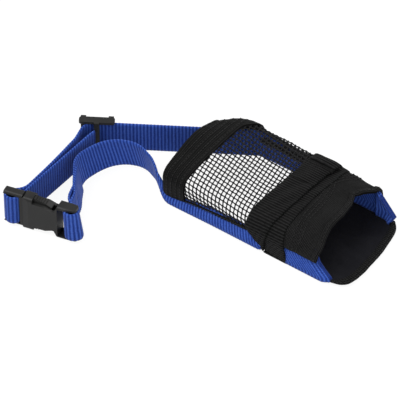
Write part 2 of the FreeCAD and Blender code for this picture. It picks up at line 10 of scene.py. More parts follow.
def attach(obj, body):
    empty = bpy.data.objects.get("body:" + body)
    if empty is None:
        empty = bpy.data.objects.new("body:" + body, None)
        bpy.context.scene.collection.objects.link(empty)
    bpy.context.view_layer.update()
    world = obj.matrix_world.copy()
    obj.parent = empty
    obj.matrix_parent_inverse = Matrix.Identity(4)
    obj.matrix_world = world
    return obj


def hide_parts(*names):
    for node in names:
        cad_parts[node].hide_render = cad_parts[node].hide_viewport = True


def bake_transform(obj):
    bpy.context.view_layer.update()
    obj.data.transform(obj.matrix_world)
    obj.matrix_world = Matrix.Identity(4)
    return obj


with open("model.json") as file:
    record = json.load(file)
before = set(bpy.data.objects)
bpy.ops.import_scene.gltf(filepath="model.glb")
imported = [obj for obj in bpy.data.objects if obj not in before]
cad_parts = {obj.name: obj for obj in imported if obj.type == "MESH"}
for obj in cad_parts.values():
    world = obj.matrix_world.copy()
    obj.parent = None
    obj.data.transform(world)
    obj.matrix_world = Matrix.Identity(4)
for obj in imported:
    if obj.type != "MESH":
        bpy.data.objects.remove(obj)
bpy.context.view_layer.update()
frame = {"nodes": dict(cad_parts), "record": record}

# Places are in millimetres: x from the rear rim towards the nose, y to the far side, z up.
# Their origin is the rim, and the frame's is under the nose band.

BAND_CENTRE_FROM_RIM = 82.0
WEBBING_WIDTH = 20.0
WEBBING_Z = 2.0
WALL = 33.3
SIDE_STRAP_Y = 31.75
FOLD_START = 108.0
FOLD_INSET = 1.5
BINDING_WIDTH = 15.3
WAIST = 60.0
BAND_UNDER = 13.5
BAND_UNDER_LENGTH = 17.0
BAND_OVERLAP = 20.0
HEM_HEIGHT = 2.4
FACING_LOW = 11.5
FACING_HEIGHT = 15.5
FAR_WALL_LEAVES = (28.6, SIDE_STRAP_Y)
FAR_BEND = (22.6, SIDE_STRAP_Y)
GLIDE_POINT = (-65.5, -26.0)
MALE_BAR = (-59.9, -100.9)
FEMALE_BAR = (-21.7, -91.3)

RIB_PITCH = 2.1
BAND_RIB_PITCH = 1.77
# One mesh of the net, along and across, where its lattice starts across the skin, and a yarn's
# points per mesh
MESH_ALONG = (2.78, -0.34)
MESH_ACROSS = (-0.6, 2.89)
NET_START = 34.0
YARN_STEPS = 4.0

# Stitched seams: distances from the rim, up from a hem's foot and back from the panel's front edge
BINDING_SEAMS = (2.6, 6.0, 9.4, 12.8)
HEM_SEAMS = (0.8, 2.0)
FRONT_SEAMS = (1.4, 14.5, 17.0, 19.5)


def metres(points):
    """Frame places in metres from places in millimetres."""
    out = np.asarray(points, float).copy()
    out[..., 0] -= BAND_CENTRE_FROM_RIM
    return out * 0.001


# Curves

def catmull(points, count):
    """Smooth line through points, with about the given number of steps, evenly spaced."""
    p = np.asarray(points, float)
    p = np.vstack([2 * p[0] - p[1], p, 2 * p[-1] - p[-2]])
    fine = []
    for a, b, c, d in zip(p, p[1:], p[2:], p[3:]):
        for t in np.linspace(0, 1, 24, endpoint=False):
            fine.append(0.5 * (2 * b + (c - a) * t + (2 * a - 5 * b + 4 * c - d) * t ** 2
                               + (3 * b - a - 3 * c + d) * t ** 3))
    fine.append(p[-2])
    return resample(np.array(fine), count)


def lengths_along(line):
    """Length from the line's start to each of its points."""
    steps = np.linalg.norm(np.diff(line, axis=0), axis=1)
    return np.concatenate([[0], np.cumsum(steps)])


def resample(line, count):
    """The line's points again, evenly spaced."""
    s = lengths_along(line)
    at = np.linspace(0, s[-1], count)
    return np.stack([np.interp(at, s, line[:, k]) for k in range(line.shape[1])], 1)


def smooth_step(x, low, high):
    t = min(max((x - low) / (high - low), 0.0), 1.0)
    return t * t * (3 - 2 * t)


# Cross-section of the muzzle as (y, z) points at stations along it, from the near floor line over the top

STATIONS = [0.0, 8.0, 15.0, 22.0, 38.0, 60.0, 88.0, 103.0, 121.0]
SECTIONS = [
    [(-32.6, 2), (-33.2, 13), (-32.4, 20.6), (-28, 23.4), (-18, 25.2), (-8, 27.2), (2, 28.4), (12, 27),
     (19.2, 25), (20.2, 20), (18.2, 2)],
    [(-32.0, 2), (-33.4, 13.5), (-32.6, 20.2), (-28.3, 23.2), (-18, 25.1), (-7, 26.6), (4, 27.4), (16, 27.1),
     (26.8, 25.6), (27.6, 20.6), (23.4, 2)],
    [(-31.4, 2), (-33.4, 13.5), (-32.6, 20), (-28.5, 23), (-18, 25), (-7, 26.2), (6, 26.8), (19, 26.9),
     (30.2, 25.4), (31.4, 20.4), (28.0, 2)],
    [(-31.0, 2), (-33.4, 13.6), (-32.3, 19.6), (-28.2, 22.6), (-18, 24.6), (-6, 25.6), (7, 26.2), (20, 26.6),
     (30.8, 25.2), (33.4, 20.5), (33.2, 2)],
    [(-30.6, 2), (-33.3, 13.6), (-32, 19.2), (-28, 22.1), (-18, 23.7), (-6, 24.5), (7, 24.9), (20, 25.0),
     (30.2, 24.2), (33.5, 20.4), (33.3, 2)],
    [(-31.0, 2), (-33.2, 13.6), (-31.7, 18.6), (-28, 21.4), (-18, 22.8), (-6, 23.5), (7, 23.8), (19, 23.8),
     (29.6, 23.2), (33.3, 20), (33.3, 2)],
    [(-33.3, 2), (-33.0, 12.5), (-31.2, 17.6), (-27.4, 21.2), (-18, 23.6), (-6, 24.6), (6, 24.6), (18, 24),
     (29, 23.2), (33.2, 19.6), (33.3, 2)],
    [(-33.3, 2), (-33.0, 12), (-30.8, 17), (-26, 21.3), (-17.5, 24.4), (-6, 25.2), (5, 24.2), (16, 22.4),
     (27, 22.4), (33.0, 19.4), (33.3, 2)],
    [(-33.3, 2), (-33.0, 12), (-30.8, 17), (-26, 21.3), (-17.5, 24.6), (-6, 25.6), (5, 23.6), (16, 20.6),
     (27, 21.6), (33.0, 19.2), (33.3, 2)],
]


def station_points(x):
    """The section's control points at a station, by a smooth curve through the measured ones."""
    x = min(max(x, STATIONS[0]), STATIONS[-1])
    i = min(max(np.searchsorted(STATIONS, x) - 1, 0), len(STATIONS) - 2)
    span = STATIONS[i + 1] - STATIONS[i]
    t = (x - STATIONS[i]) / span
    here, after = np.array(SECTIONS[i], float), np.array(SECTIONS[i + 1], float)

    def slope(k):
        low, high = max(k - 1, 0), min(k + 1, len(STATIONS) - 1)
        rise = np.array(SECTIONS[high], float) - np.array(SECTIONS[low], float)
        return rise / (STATIONS[high] - STATIONS[low])

    h = [2 * t ** 3 - 3 * t ** 2 + 1, t ** 3 - 2 * t ** 2 + t, -2 * t ** 3 + 3 * t ** 2, t ** 3 - t ** 2]
    return h[0] * here + h[1] * span * slope(i) + h[2] * after + h[3] * span * slope(i + 1)


@lru_cache(maxsize=4000)
def section_line(x_key):
    line = catmull(station_points(x_key * 0.05), 220)
    return line, lengths_along(line)


def section(x):
    return section_line(round(x / 0.05))


def girth(x):
    return section(x)[1][-1]


def skin(x, a, lift=0.0):
    """Point at a station, an arc length up from the near floor line, lifted off the skin."""
    line, s = section(x)
    a = min(max(a, 0.0), s[-1])
    y, z = np.interp(a, s, line[:, 0]), np.interp(a, s, line[:, 1])
    ahead, back = min(a + 0.4, s[-1]), max(a - 0.4, 0.0)
    dy = np.interp(ahead, s, line[:, 0]) - np.interp(back, s, line[:, 0])
    dz = np.interp(ahead, s, line[:, 1]) - np.interp(back, s, line[:, 1])
    length = math.hypot(dy, dz)
    return np.array([x, y - dz / length * lift, z + dy / length * lift])


def foot(x):
    """Arc length from the floor line to the panel's lower edge."""
    return float(np.interp(x, [-1, 2, 6, 25, 50, 70, 121], [6.6, 3.2, 2.6, 5.6, 7.6, 8.6, 10.2]))


# Mesh builders

def make_object(name, data, material):
    """Object from vertices, faces and the flat coordinates that its weave follows."""
    verts, faces, flat = data
    mesh = bpy.data.meshes.new(name)
    mesh.from_pydata([tuple(v) for v in metres(verts)], [], faces)
    mesh.validate()
    layer = mesh.attributes.new("flat", "FLOAT_VECTOR", "POINT")
    layer.data.foreach_set("vector", np.asarray(flat, np.float32).ravel())
    mesh.polygons.foreach_set("use_smooth", [True] * len(mesh.polygons))
    mesh.materials.append(material)
    obj = bpy.data.objects.new(name, mesh)
    bpy.context.scene.collection.objects.link(obj)
    return obj


def row_normals(rows):
    along = np.gradient(rows, axis=0)
    across = np.gradient(rows, axis=1)
    n = np.cross(across, along)
    return n / np.maximum(np.linalg.norm(n, axis=2, keepdims=True), 1e-9)


SELVAGE = 0.45


def slab(rows, thickness, relief=None):
    """Vertices, faces and flat coordinates of a sheet through rows of points.
    relief is a height added on both faces, and the two selvages keep only a share of the thickness."""
    n, k = rows.shape[:2]
    normal = row_normals(rows)
    half = np.full((n, k), thickness / 2)
    half[:, 0] *= SELVAGE
    half[:, -1] *= SELVAGE
    if relief is not None:
        half = half + relief
    top = rows + normal * half[..., None]
    low = rows - normal * half[..., None]
    verts = np.concatenate([top.reshape(-1, 3), low.reshape(-1, 3)])
    index = np.arange(n * k).reshape(n, k)
    faces = []
    for i in range(n - 1):
        for j in range(k - 1):
            a, b, c, d = index[i, j], index[i + 1, j], index[i + 1, j + 1], index[i, j + 1]
            faces.append((a, d, c, b))
            faces.append((a + n * k, b + n * k, c + n * k, d + n * k))
    rim = [(i, 0) for i in range(n)] + [(n - 1, j) for j in range(1, k)]
    rim += [(i, k - 1) for i in range(n - 2, -1, -1)] + [(0, j) for j in range(k - 2, 0, -1)]
    for (i, j), (p, q) in zip(rim, rim[1:] + rim[:1]):
        a, b = index[i, j], index[p, q]
        faces.append((a, b, b + n * k, a + n * k))
    flat = np.zeros((n, k, 3))
    flat[..., 0] = lengths_along(rows[:, k // 2])[:, None]
    flat[..., 1] = lengths_along(rows[n // 2])[None, :]
    flat = flat.reshape(-1, 3) * 0.001
    return verts, [tuple(int(v) for v in f) for f in faces], np.concatenate([flat, flat])


def join(parts):
    """One mesh's data from several."""
    verts, faces, flats, base = [], [], [], 0
    for v, f, flat in parts:
        verts.append(v)
        flats.append(flat)
        faces += [tuple(i + base for i in face) for face in f]
        base += len(v)
    return np.concatenate(verts), faces, np.concatenate(flats)


def tube(line, radius, sides=6):
    """Round bar along a line of points, with a radius for each point or one for all."""
    line = np.asarray(line, float)
    radius = np.broadcast_to(np.asarray(radius, float), (len(line),))
    along = np.gradient(line, axis=0)
    along /= np.maximum(np.linalg.norm(along, axis=1, keepdims=True), 1e-9)
    up = np.array([0.0, 0.0, 1.0])
    side = np.cross(along, up)
    flat_side = np.linalg.norm(side, axis=1) < 0.2
    side[flat_side] = np.cross(along[flat_side], [1.0, 0.0, 0.0])
    side /= np.linalg.norm(side, axis=1, keepdims=True)
    lift = np.cross(side, along)
    turns = np.arange(sides) * 2 * math.pi / sides
    rings = line[:, None] + radius[:, None, None] * (
        np.cos(turns)[None, :, None] * side[:, None] + np.sin(turns)[None, :, None] * lift[:, None])
    verts = rings.reshape(-1, 3)
    faces = []
    for i in range(len(line) - 1):
        for j in range(sides):
            q = (j + 1) % sides
            faces.append((i * sides + j, i * sides + q, (i + 1) * sides + q, (i + 1) * sides + j))
    faces.append(tuple(range(sides))[::-1])
    faces.append(tuple((len(line) - 1) * sides + j for j in range(sides)))
    flat = np.zeros((len(verts), 3))
    flat[:, 0] = np.repeat(lengths_along(line), sides) * 0.001
    return verts, faces, flat


def stitch_row(points, normal_of, pitch=2.6, length=1.8, radius=0.22, lift=0.12):
    """Row of sewn stitches along a line: short threads that dive into the cloth at both ends."""
    line = np.asarray(points, float)
    s = lengths_along(line)
    parts = []
    for start in np.arange(0.3, s[-1] - length, pitch):
        at = start + np.linspace(0, length, 5)
        path = np.stack([np.interp(at, s, line[:, k]) for k in range(3)], 1)
        normal = normal_of(path[2])
        dip = np.array([-0.35, 0.55, 0.9, 0.55, -0.35]) * radius + lift
        radii = [radius * 0.5, radius, radius, radius, radius * 0.5]
        parts.append(tube(path + dip[:, None] * normal, radii, 5))
    return parts


# Materials

def new_material(name):
    material = bpy.data.materials.new(name)
    material.use_nodes = True
    nodes, links = material.node_tree.nodes, material.node_tree.links
    return material, nodes, links, nodes["Principled BSDF"]


def flat_coordinates(nodes):
    attribute = nodes.new("ShaderNodeAttribute")
    attribute.attribute_name = "flat"
    return attribute.outputs["Vector"]


def wave(nodes, links, vector, scale, direction, distortion):
    node = nodes.new("ShaderNodeTexWave")
    node.bands_direction = direction
    node.wave_profile = "SIN"
    node.inputs["Scale"].default_value = scale
    node.inputs["Distortion"].default_value = distortion
    node.inputs["Detail"].default_value = 1.0
    node.inputs["Detail Scale"].default_value = 2.0
    links.new(vector, node.inputs["Vector"])
    return node.outputs["Fac"]


def noise_tex(nodes, links, vector, scale, detail):
    node = nodes.new("ShaderNodeTexNoise")
    node.inputs["Scale"].default_value = scale
    node.inputs["Detail"].default_value = detail
    links.new(vector, node.inputs["Vector"])
    return node.outputs["Fac"]


def math_node(nodes, links, operation, *values):
    node = nodes.new("ShaderNodeMath")
    node.operation = operation
    for socket, value in zip(node.inputs, values):
        if isinstance(value, (int, float)):
            socket.default_value = value
        else:
            links.new(value, socket)
    return node.outputs[0]


def ramp(nodes, links, fac, stops):
    node = nodes.new("ShaderNodeValToRGB")
    elements = node.color_ramp.elements
    while len(elements) < len(stops):
        elements.new(0.5)
    for element, (position, colour) in zip(elements, stops):
        element.position = position
        element.color = (*colour, 1.0)
    links.new(fac, node.inputs["Fac"])
    return node.outputs["Color"]


def bump(nodes, links, height, strength, distance, shader):
    node = nodes.new("ShaderNodeBump")
    node.inputs["Strength"].default_value = strength
    node.inputs["Distance"].default_value = distance
    links.new(height, node.inputs["Height"])
    links.new(node.outputs["Normal"], shader.inputs["Normal"])


def object_coordinates(nodes):
    return nodes.new("ShaderNodeTexCoord").outputs["Object"]


def grey(value):
    return (value, value, value)


def wave_scale(pitch_mm):
    """Scale of a wave texture whose bands repeat at a pitch, on coordinates in metres."""
    return 2 * math.pi / 20.0 / (pitch_mm * 0.001)


def woven(name, dark, base, light, rib_pitch, yarn_pitch, sheen, relief=0.5):
    """Cloth with ribs one way and yarns the other, worked out on the cloth's own flat coordinates."""
    material, nodes, links, shader = new_material(name)
    flat = flat_coordinates(nodes)
    ribs = wave(nodes, links, flat, wave_scale(rib_pitch), "X", 0.6)
    yarns = wave(nodes, links, flat, wave_scale(yarn_pitch), "Y", 0.8)
    fuzz = noise_tex(nodes, links, object_coordinates(nodes), 900.0, 4.0)
    patches = noise_tex(nodes, links, object_coordinates(nodes), 45.0, 2.0)
    height = math_node(nodes, links, "MULTIPLY", ribs, math_node(nodes, links, "MULTIPLY_ADD", yarns, 0.6, 0.5))
    # Colour follows the rib relief: the crests get the light colour as a painted highlight and the hollows the
    # dark colour as painted shade; the fuzz and patch noise add random tone.
    relief_shading_and_tone = math_node(nodes, links, "ADD", math_node(nodes, links, "MULTIPLY", height, 0.55),
                     math_node(nodes, links, "MULTIPLY", fuzz, 0.35))
    relief_shading_and_tone = math_node(nodes, links, "ADD", relief_shading_and_tone, math_node(nodes, links, "MULTIPLY", patches, 0.22))
    links.new(ramp(nodes, links, relief_shading_and_tone, [(0.22, dark), (0.5, base), (0.86, light)]), shader.inputs["Base Color"])
    rough = math_node(nodes, links, "ADD", math_node(nodes, links, "MULTIPLY", fuzz, 0.25), 0.5)
    links.new(rough, shader.inputs["Roughness"])
    shader.inputs["Sheen Weight"].default_value = sheen
    shader.inputs["Sheen Roughness"].default_value = 0.5
    shader.inputs["Specular IOR Level"].default_value = 0.06
    bump(nodes, links, math_node(nodes, links, "ADD", height, math_node(nodes, links, "MULTIPLY", fuzz, 0.5)),
         relief, 0.0003, shader)
    return material


def plastic(name):
    material, nodes, links, shader = new_material(name)
    place = object_coordinates(nodes)
    grain = noise_tex(nodes, links, place, 2600.0, 2.0)
    smear = noise_tex(nodes, links, place, 90.0, 4.0)
    links.new(ramp(nodes, links, smear, [(0.3, grey(0.011)), (0.7, (0.018, 0.018, 0.0175))]),
              shader.inputs["Base Color"])
    rough = math_node(nodes, links, "ADD", math_node(nodes, links, "MULTIPLY", smear, 0.25), 0.36)
    links.new(rough, shader.inputs["Roughness"])
    shader.inputs["Specular IOR Level"].default_value = 0.26
    bump(nodes, links, grain, 0.25, 0.00006, shader)
    return material


def yarn(name, dark, light, rough):
    material, nodes, links, shader = new_material(name)
    twist = wave(nodes, links, flat_coordinates(nodes), wave_scale(0.7), "X", 2.0)
    fuzz = noise_tex(nodes, links, object_coordinates(nodes), 1400.0, 3.0)
    # Colour follows the twist: its crests get the light colour as a painted highlight and its troughs the dark
    # colour as painted shade; the fuzz noise adds random tone.
    relief_shading_and_tone = math_node(nodes, links, "ADD", math_node(nodes, links, "MULTIPLY", twist, 0.5),
                     math_node(nodes, links, "MULTIPLY", fuzz, 0.5))
    links.new(ramp(nodes, links, relief_shading_and_tone, [(0.3, dark), (0.75, light)]), shader.inputs["Base Color"])
    shader.inputs["Roughness"].default_value = rough
    shader.inputs["Sheen Weight"].default_value = 0.04
    shader.inputs["Specular IOR Level"].default_value = 0.12
    bump(nodes, links, twist, 0.4, 0.0001, shader)
    return material


# Below, the first colour of each cloth and yarn is painted shade for the hollows and its last colour a painted
# highlight for the crests; a woven cloth's middle colour is its own.
BLUE = woven("blue_webbing", (0.006, 0.020, 0.13), (0.021, 0.056, 0.29), (0.06, 0.135, 0.50),
             rib_pitch=RIB_PITCH, yarn_pitch=0.75, sheen=0.04)
BAND = woven("black_band", grey(0.0006), grey(0.004), grey(0.024),
             rib_pitch=BAND_RIB_PITCH, yarn_pitch=0.6, sheen=0.02, relief=0.7)
TAPE = woven("black_tape", grey(0.001), grey(0.004), (0.016, 0.016, 0.0155),
             rib_pitch=1.5, yarn_pitch=1.1, sheen=0.02, relief=0.7)
FINE = woven("fine_mesh", grey(0.0005), grey(0.0045), grey(0.03),
             rib_pitch=0.85, yarn_pitch=0.85, sheen=0.02, relief=1.0)
CHIN = woven("chin_cloth", (0.0025, 0.0025, 0.004), (0.0045, 0.0045, 0.0068), (0.009, 0.009, 0.012),
             rib_pitch=0.6, yarn_pitch=0.6, sheen=0.04, relief=0.3)
NET = yarn("mesh_yarn", (0.003, 0.003, 0.0035), (0.014, 0.014, 0.016), rough=0.55)
THREAD = yarn("sewing_thread", grey(0.004), grey(0.024), rough=0.45)
HOOK = woven("hook_and_loop", grey(0.003), grey(0.010), grey(0.026),
             rib_pitch=1.0, yarn_pitch=1.0, sheen=0.1, relief=1.0)
PLASTIC = plastic("black_acetal")


# Pieces

def piece(name, data, material, body, slot, *nodes):
    """Visible piece that rides on a body and replaces the CAD nodes named last."""
    obj = make_object(name, data, material)
    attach(obj, body)
    if nodes:
        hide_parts(*nodes)
    return obj


def skin_rows(x_at, a_at, n, k, lift):
    """Rows of skin points. x_at(u, v) and a_at(x, v) give station and arc length for u, v in 0..1."""
    rows = np.zeros((n, k, 3))
    for i, u in enumerate(np.linspace(0, 1, n)):
        for j, v in enumerate(np.linspace(0, 1, k)):
            x = x_at(u, v)
            rows[i, j] = skin(x, a_at(x, v), lift(x, u, v) if callable(lift) else lift)
    return rows


def pucker(x, a, size, scale):
    """Small uneven rise of the cloth, of a height and at a scale."""
    return size * noise.noise(Vector((x * scale, a * scale, 3.1)))


def panel_arc(x, v):
    """Arc length at a share of the panel's width, from its near foot to its far one."""
    low = foot(x)
    high = girth(x) - foot(x)
    return low + (high - low) * v


# Muzzle cloth

def skin_normal(point):
    """Outward direction of the skin nearest to a point."""
    line, s = section(point[0])
    i = int(np.argmin((line[:, 0] - point[1]) ** 2 + (line[:, 1] - point[2]) ** 2))
    i = min(max(i, 1), len(line) - 2)
    d = line[i + 1] - line[i - 1]
    return np.array([0.0, -d[1], d[0]]) / np.linalg.norm(d)


def rim_edge(v):
    """Station of the rear rim, which bows back over the crown."""
    return -2.6 * math.sin(math.pi * min(max(v, 0.0), 1.0)) ** 2


def binding_front(v):
    """Station where the rim's tape ends, which runs forward over the far shoulder."""
    return BINDING_WIDTH + 8.0 * smooth_step(v, 0.7, 0.86)


def rear_binding():
    """Tape round the rim, with low waves between its seams."""
    def lift(x, u, v):
        waves = 0.22 * abs(math.sin(math.pi * (x - 1.0) / 3.4))
        return 0.35 + waves * 0.6 + pucker(x, v * 90, 0.2, 0.35)

    rows = skin_rows(lambda u, v: rim_edge(v) + u * (binding_front(v) - rim_edge(v)),
                     panel_arc, 40, 150, lift)
    piece("rear_binding_tape", slab(rows, 1.5), TAPE, "muzzle", "binding_tape", "rear_binding")


def binding_stitches():
    parts = []
    for x in BINDING_SEAMS:
        line = [skin(x, panel_arc(x, v), 1.05) for v in np.linspace(0.01, 0.99, 120)]
        parts += stitch_row(line, skin_normal, 2.3, 1.7, 0.26)
    piece("binding_stitches", join(parts), THREAD, "muzzle", "binding_tape")


def window_net():
    """Two families of yarns on the slanting lattice, thick where they cross."""
    start, end = BINDING_WIDTH - 1.0, WAIST + 5.4
    parts = []
    directions = [(np.array(MESH_ALONG), np.array(MESH_ACROSS)), (np.array(MESH_ACROSS), np.array(MESH_ALONG))]
    for family, (run, step) in enumerate(directions):
        for i in range(-45, 60):
            line, radii = [], []
            for q in range(-240, 240):
                t = q / YARN_STEPS
                flat = np.array([start, 0.0]) + run * t + step * i
                x = flat[0]
                if not start <= x <= end:
                    continue
                a = flat[1] + NET_START
                low, high = foot(x) + 1.5, girth(x) - foot(x) - 1.5
                if not low <= a <= high:
                    continue
                wave_up = math.cos(math.pi * (t + i + family))
                lift = -0.35 + 0.18 * wave_up + pucker(x, a, 0.5, 0.09)
                line.append(skin(x, a, lift))
                radii.append(0.36 + 0.2 * abs(math.cos(math.pi * t)) ** 3)
            if len(line) > 3:
                parts.append(tube(line, radii, 6))
    piece("window_mesh", join(parts), NET, "muzzle", "open_mesh", "window_near_wall_mesh",
          "window_shoulder_mesh", "window_near_crown_mesh", "window_far_crown_mesh",
          "window_far_wall_mesh", "far_wall_gusset")


def panel_hems():
    for side, node in ((0, "near_panel_hem"), (1, "far_panel_hem")):
        def arc(x, v, side=side):
            a = foot(x) + HEM_HEIGHT * v
            return girth(x) - a if side else a

        def lift(x, u, v):
            return 0.1 + 0.18 * math.sin(math.pi * v) + pucker(x, v * 30, 0.15, 0.4)

        rows = skin_rows(lambda u, v: BINDING_WIDTH - 0.5 + u * (WAIST - BINDING_WIDTH + 1.0), arc, 90, 9, lift)
        piece(node + "_tape", slab(rows, 1.3), TAPE, "muzzle", "binding_tape", node)


def hem_stitches():
    parts = []
    for side in (0, 1):
        for rise in HEM_SEAMS:
            line = []
            for x in np.linspace(BINDING_WIDTH, WAIST, 60):
                a = foot(x) + rise
                line.append(skin(x, girth(x) - a if side else a, 0.85))
            parts += stitch_row(line, skin_normal, 2.4, 1.7, 0.22)
    piece("hem_stitches", join(parts), THREAD, "muzzle", "binding_tape")


def far_facing():
    """Seam allowance of the panel, which hangs down inside the far strap."""
    n, k = 90, 14
    rows = np.zeros((n, k, 3))
    for i, x in enumerate(np.linspace(BINDING_WIDTH - 1.0, WAIST + 2.0, n)):
        for j, v in enumerate(np.linspace(0, 1, k)):
            inset = 2.9 - 2.4 * v ** 1.3
            a = girth(x) - FACING_LOW - FACING_HEIGHT * v
            rows[i, j] = skin(x, a, -inset + pucker(x, v * 13, 0.3, 0.3))
    piece("far_facing_tape", slab(rows, 0.7), TAPE, "muzzle", "binding_tape")


def front_edge(v):
    """Station of the panel's front edge, which dips back on the far side of the middle."""
    return float(np.interp(v, [0, 0.12, 0.29, 0.46, 0.6, 0.69, 0.76, 0.83, 1.0],
                           [110.5, 111.4, 108, 107.5, 105, 101.5, 104, 109, 110]))


def front_panel():
    def lift(x, u, v):
        return -0.1 + pucker(x, v * 90, 0.7, 0.12)

    rows = skin_rows(lambda u, v: WAIST + 1.0 + u * (front_edge(v) - WAIST - 1.0),
                     panel_arc, 70, 120, lift)
    cloth = piece("front_mesh_panel_cloth", slab(rows, 0.9), FINE, "muzzle", "fine_mesh", "front_mesh_panel")


def front_hem():
    def at(u, v):
        return front_edge(v) - 3.4 + 3.4 * u

    def lift(x, u, v):
        return 0.25 + 0.25 * math.sin(math.pi * u) + pucker(x, v * 90, 0.3, 0.3)

    rows = skin_rows(at, panel_arc, 10, 130, lift)
    piece("front_hem_tape", slab(rows, 1.4), FINE, "muzzle", "binding_tape", "front_hem_binding")


def front_stitches():
    parts = []
    for back in FRONT_SEAMS:
        line = []
        for v in np.linspace(0.01, 0.99, 130):
            x = front_edge(v) - back
            line.append(skin(x, panel_arc(x, v), 0.62 if back > 5 else 1.15))
        parts += stitch_row(line, skin_normal, 2.5, 1.8, 0.22)
    piece("front_stitches", join(parts), THREAD, "muzzle", "fine_mesh")


# Nose band

def band_rear(a):
    """Station of the band's rear edge, which slants forward down the walls and over to the far side."""
    return WAIST + float(np.interp(a, [0, 11.0, 14.0, 30.0, 60.0, 70.0], [BAND_UNDER, 2.5, 1.4, 1.6, 3.2, 4.6]))


def band_rib(x, a, size):
    """Height of the band's ribs, which run forward and a little down to the near side."""
    tilt = float(np.interp(a, [6.0, 16.0, 30.0, 60.0], [0.5, 0.42, 0.23, 0.1]))
    return size * abs(math.sin(math.pi * (a + tilt * (x - WAIST)) / BAND_RIB_PITCH))


def band_rows(a_at, x_at, n, k, lift, size):
    """Rows of a band layer, round the muzzle in k steps and along it in n, with the ribs' relief."""
    rows = np.zeros((k, n, 3))
    relief = np.zeros((k, n))
    for i, v in enumerate(np.linspace(0, 1, k)):
        for j, u in enumerate(np.linspace(0, 1, n)):
            a = a_at(v)
            x = x_at(a, u)
            rows[i, j] = skin(x, a * girth(x) / girth(WAIST + 10), lift(a, u) + pucker(x, a, 0.3, 0.12))
            relief[i, j] = band_rib(x, a, size)
    return rows, relief


def nose_band_base():
    """The ring round the muzzle: a layer over the top and one flat under it."""
    whole = girth(WAIST + 10)

    def x_at(a, u):
        edge = min(a, whole - a)
        front = WAIST + float(np.interp(edge, [0, 10, 20, 45], [30.5, 27.5, 26.0, 25.4]))
        return band_rear(edge) + (front - band_rear(edge)) * u

    rows, relief = band_rows(lambda v: v * whole, x_at, 24, 480, lambda a, u: 0.75, 0.26)
    parts = [slab(rows, 0.9, relief)]
    under = np.zeros((60, 14, 3))
    for i, v in enumerate(np.linspace(0, 1, 60)):
        for j, u in enumerate(np.linspace(0, 1, 14)):
            y = -WALL - 0.7 + 2 * (WALL + 0.7) * v
            under[i, j] = (WAIST + BAND_UNDER + BAND_UNDER_LENGTH * u, y, 0.55)
    parts.append(slab(under[::-1], 0.9))
    piece("nose_band_ring", join(parts), BAND, "muzzle", "band_webbing", "nose_band_base")


# Arc lengths on the skin where the overlap ends, and where the tab's roll starts and ends
OVERLAP_TOP = 55.0
ROLL_START = 73.0
TAB_END = 79.5


def overlap_front(a):
    """Station of the front edge of the band's upper layer."""
    return WAIST + float(np.interp(a, [0, 8, 24, 56], [13.9, 14.6, 18.5, BAND_OVERLAP]))


def nose_band_overlap():
    def x_at(a, u):
        return band_rear(a) - 0.3 + (overlap_front(a) - band_rear(a) + 0.3) * u

    def lift(a, u):
        return 1.95 + 0.65 * float(np.interp(a, [OVERLAP_TOP - 14, OVERLAP_TOP], [0, 1])) ** 2

    rows, relief = band_rows(lambda v: v * OVERLAP_TOP, x_at, 20, 320, lift, 0.28)
    piece("nose_band_overlap_layer", slab(rows, 0.9, relief), BAND, "muzzle", "band_webbing",
          "nose_band_overlap")


def nose_band_tab():
    """Flap that carries on from the overlap, with its end turned over into a thick ribbed roll."""
    def x_at(a, u):
        rear = band_rear(a) - 0.3
        front = WAIST + BAND_OVERLAP + float(np.interp(a, [68.0, TAB_END], [0.0, 3.2]))
        return rear + (front - rear) * u

    def lift(a, u):
        step = min(max((a - ROLL_START) / 0.8, 0.0), 1.0)
        fall = min(max((TAB_END - a) / 1.6, 0.0), 1.0)
        return 2.6 + 2.1 * step * math.sqrt(fall) * math.sin(math.pi * (0.12 + 0.76 * u)) ** 0.4

    start = OVERLAP_TOP + 0.4
    rows, relief = band_rows(lambda v: start + (TAB_END - start) * v, x_at, 20, 190, lift, 0.3)
    piece("nose_band_tab_strip", slab(rows, 0.9, relief), BAND, "band_tab", "band_webbing", "nose_band_tab")


def patches():
    """Hook and loop pads under the tab: short loops and hooks stand on a thin cloth."""
    for name, body, lift, node in (("loop_pad", "muzzle", 1.5, "loop_patch"),
                                   ("hook_pad", "band_tab", 1.98, "hook_patch")):
        def x_at(a, u):
            return WAIST + 4.5 + (BAND_OVERLAP - 5.0) * u

        rows, relief = band_rows(lambda v: OVERLAP_TOP + 3.0 + 21.5 * v, x_at, 40, 60,
                                 lambda a, u: lift, 0.0)
        for i in range(rows.shape[0]):
            for j in range(rows.shape[1]):
                relief[i, j] = 0.12 * ((i * 7 + j * 5) % 4) / 3.0
        piece(name, slab(rows, 0.35, relief), HOOK, body, "hook_and_loop", node)


# Webbing

RIB_HEIGHT = 0.1


def ribbed_strap(rows):
    """Webbing along rows, with ribs across it at their pitch."""
    s = lengths_along(rows[:, rows.shape[1] // 2])
    ribs = RIB_HEIGHT * (0.5 + 0.5 * np.cos(2 * math.pi * s / RIB_PITCH))
    return slab(rows, 1.35, np.repeat(ribs[:, None], rows.shape[1], 1))


def rounded(points, radius):
    """Plan line through a route's corners, each turned to an arc."""
    line = [np.array(points[0], float)]
    for before, corner, after in zip(points, points[1:], points[2:]):
        corner = np.array(corner, float)
        back = np.array(before, float) - corner
        on = np.array(after, float) - corner
        back, on = back / np.linalg.norm(back), on / np.linalg.norm(on)
        half = math.acos(float(np.clip(back @ on, -1, 1))) / 2
        reach = radius / math.tan(half)
        middle = (back + on) / np.linalg.norm(back + on)
        centre = corner + middle * radius / math.sin(half)
        first, last = corner + back * reach - centre, corner + on * reach - centre
        for t in np.linspace(0, 1, 14):
            spoke = first * (1 - t) + last * t
            line.append(centre + spoke * radius / np.linalg.norm(spoke))
    line.append(np.array(points[-1], float))
    return np.array(line)


